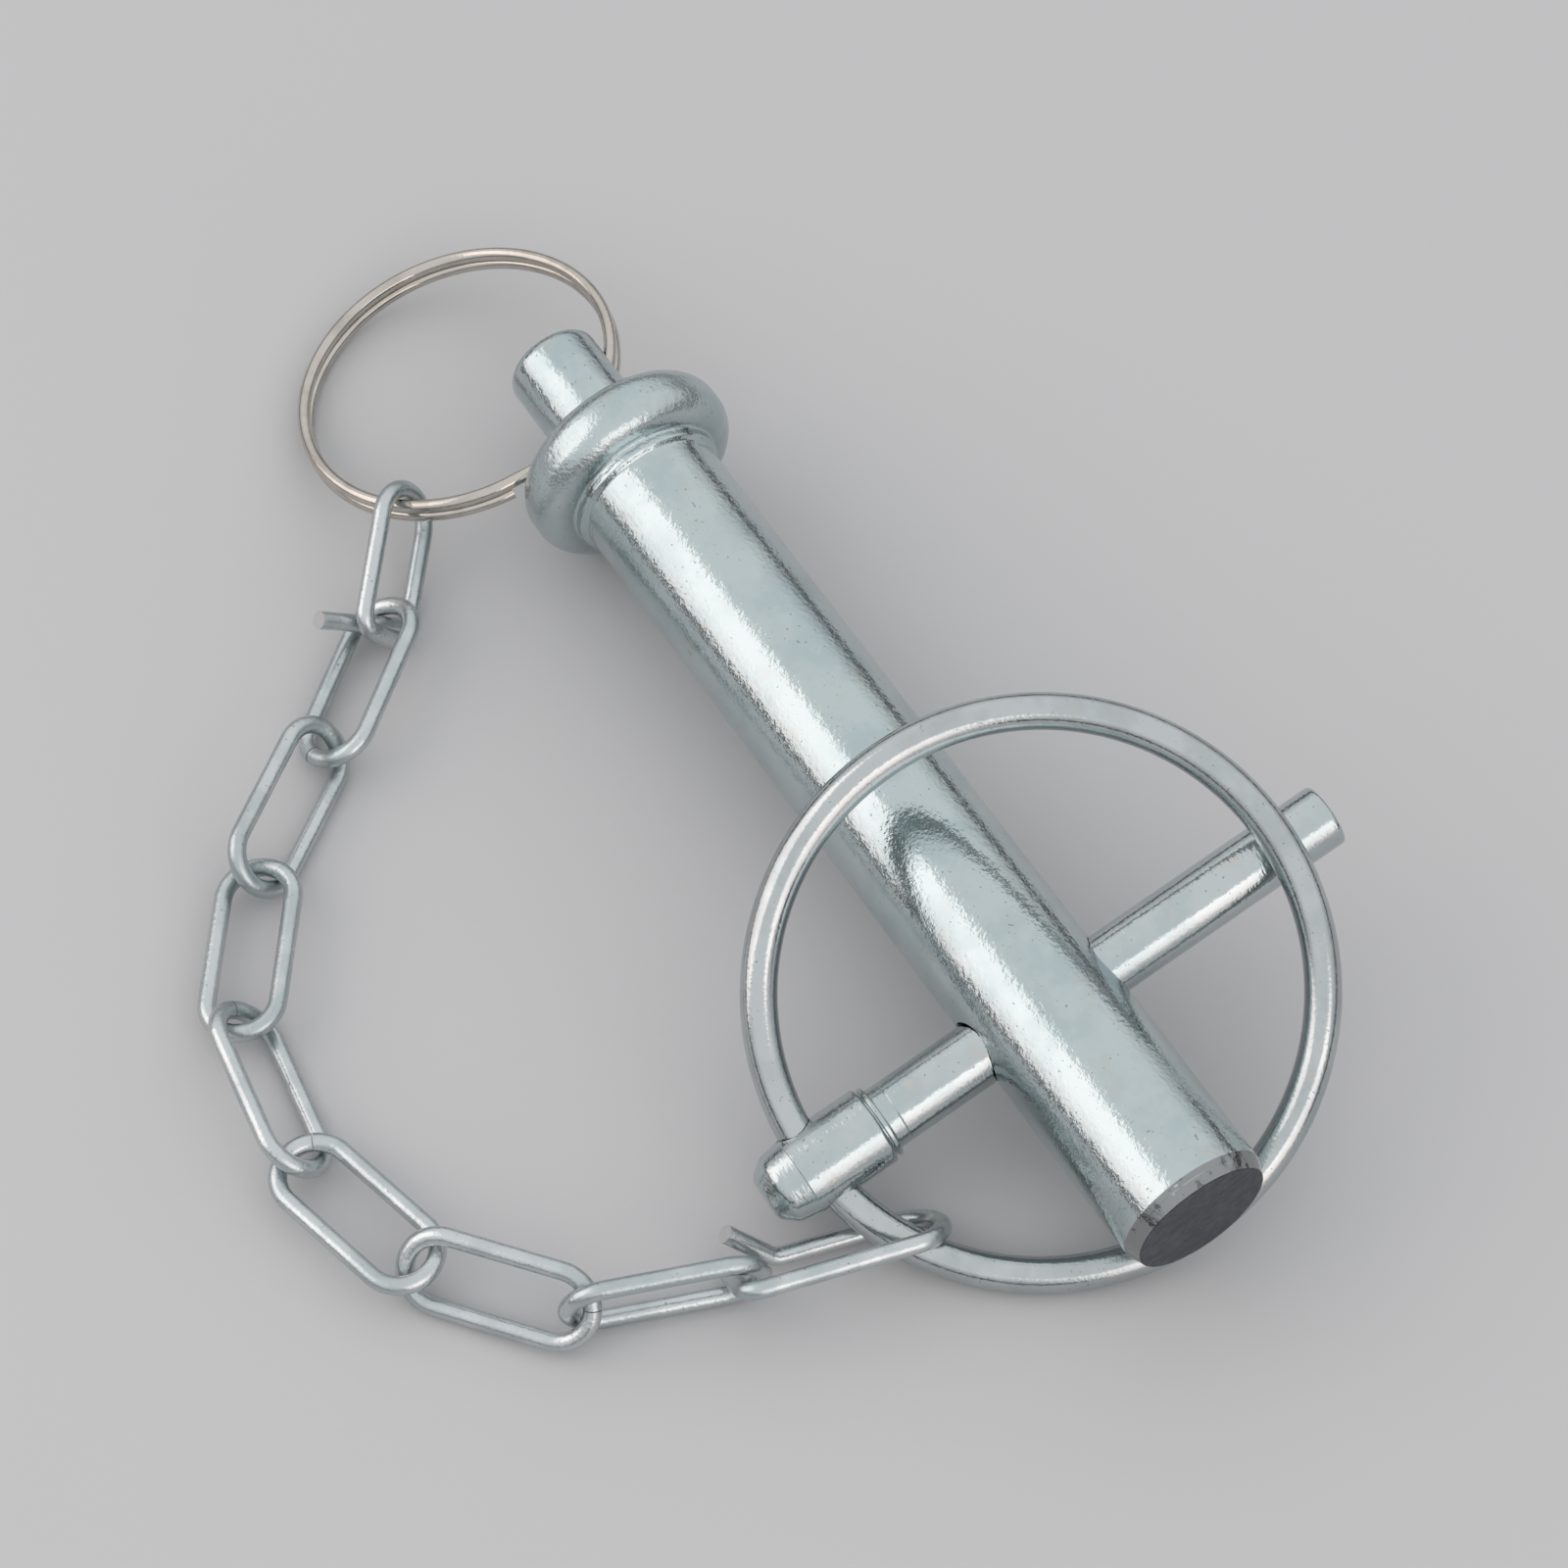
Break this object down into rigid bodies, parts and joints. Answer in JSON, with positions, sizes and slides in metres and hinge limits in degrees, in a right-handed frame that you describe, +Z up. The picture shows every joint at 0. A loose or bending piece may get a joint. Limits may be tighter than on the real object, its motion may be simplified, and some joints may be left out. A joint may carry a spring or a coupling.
{
  "type": "retaining pin",
  "caption": "Zinc-plated hitch pin with a collar and ring spigot, held by a linch pin whose spring hoop is chained back to the split ring",
  "frame": {"origin": "centre of the collar face that the shank starts from, on the pin axis", "axes": "+X along the pin towards its tip, the pin lying as it rests; +Y along the linch pin towards its tip; +Z up from the surface it lies on"},
  "size_m": [0.1742, 0.1286, 0.0402],
  "materials": {
    "pin_zinc": "bright zinc plate, satin",
    "linch_zinc": "bright zinc plate over turned steel",
    "hoop_wire": "polished spring wire",
    "ring_steel": "nickel plate, glossy",
    "chain_zinc": "zinc plate, bright"
  },
  "bodies": {
    "hitch_pin": {"hitch_pin": "pin_zinc"},
    "linch_pin": {"linch_pin": "linch_zinc"},
    "hoop": {"hoop": "hoop_wire"},
    "split_ring": {"split_ring": "ring_steel"},
    "chain_link_1": {"chain_link_1": "chain_zinc"},
    "chain_link_2": {"chain_link_2": "chain_zinc"},
    "chain_link_3": {"chain_link_3": "chain_zinc"},
    "chain_link_4": {"chain_link_4": "chain_zinc"},
    "chain_link_5": {"chain_link_5": "chain_zinc"},
    "chain_link_6": {"chain_link_6": "chain_zinc"},
    "chain_link_7": {"chain_link_7": "chain_zinc"},
    "chain_link_8": {"chain_link_8": "chain_zinc"},
    "chain_link_9": {"chain_link_9": "chain_zinc"}
  },
  "joints": [
    {"name": "ring_swing", "type": "hinge", "parent": "hitch_pin", "child": "split_ring", "pos_m": [-0.0134, 0, -0.00028], "axis": [-0.5153, 0.856, 0.0415], "range_deg": [0, 4]},
    {"name": "link_1_swing", "type": "hinge", "parent": "split_ring", "child": "chain_link_1", "pos_m": [-0.01651, -0.02564, -0.0061], "axis": [0.5997, -0.8001, -0.0097], "range_deg": [-0.5, 4.1]},
    {"name": "link_2_swing", "type": "hinge", "parent": "chain_link_1", "child": "chain_link_2", "pos_m": [-0.00564, -0.0351, -0.00988], "axis": [-0.9947, 0.1021, -0.0117], "range_deg": [0, 3]},
    {"name": "link_3_swing", "type": "hinge", "parent": "chain_link_2", "child": "chain_link_3", "pos_m": [0.00642, -0.05054, -0.0108], "axis": [0.0115, 0.2079, -0.9781], "range_deg": [-2.4, 1.01]},
    {"name": "link_4_swing", "type": "hinge", "parent": "chain_link_3", "child": "chain_link_4", "pos_m": [0.01811, -0.06661, -0.01064], "axis": [-0.9654, -0.2596, -0.0241], "range_deg": [0, 2.5]},
    {"name": "link_5_swing", "type": "hinge", "parent": "chain_link_4", "child": "chain_link_5", "pos_m": [0.03425, -0.07881, -0.01027], "axis": [-0.8815, -0.4717, -0.0225], "range_deg": [0, 3]},
    {"name": "link_6_swing", "type": "hinge", "parent": "chain_link_5", "child": "chain_link_6", "pos_m": [0.05414, -0.08169, -0.0103], "axis": [-0.7596, -0.6497, -0.029], "range_deg": [0, 1.2]},
    {"name": "link_7_swing", "type": "hinge", "parent": "chain_link_6", "child": "chain_link_7", "pos_m": [0.07353, -0.07698, -0.0097], "axis": [-0.5879, -0.8085, -0.026], "range_deg": [0, 0.8]},
    {"name": "link_8_swing", "type": "hinge", "parent": "chain_link_7", "child": "chain_link_8", "pos_m": [0.08925, -0.06446, -0.00869], "axis": [0.3524, 0.9358, 0], "range_deg": [-1, 3]},
    {"name": "linch_slide", "type": "slide", "parent": "hitch_pin", "child": "linch_pin", "axis": [0.0044, -0.9781, -0.2079], "range_m": [-0.003, 0.0008]},
    {"name": "hoop_swing", "type": "hinge", "parent": "linch_pin", "child": "hoop", "pos_m": [0.08982, -0.03179, -0.00487], "axis": [0.8902, 0.1553, -0.4282], "range_deg": [-0.15, 0.2]},
    {"name": "link_9_roll", "type": "hinge", "parent": "linch_pin", "child": "chain_link_9", "pos_m": [0.09636, -0.04557, -0.00869], "axis": [0.2362, 0.9709, -0.0402], "range_deg": [-3, 2]}
  ],
  "couplings": [
    {"joint": "link_1_swing", "follows": "ring_swing", "ratio": 0.90041},
    {"joint": "link_3_swing", "follows": "linch_slide", "rad_per_m": 11.082}
  ]
}
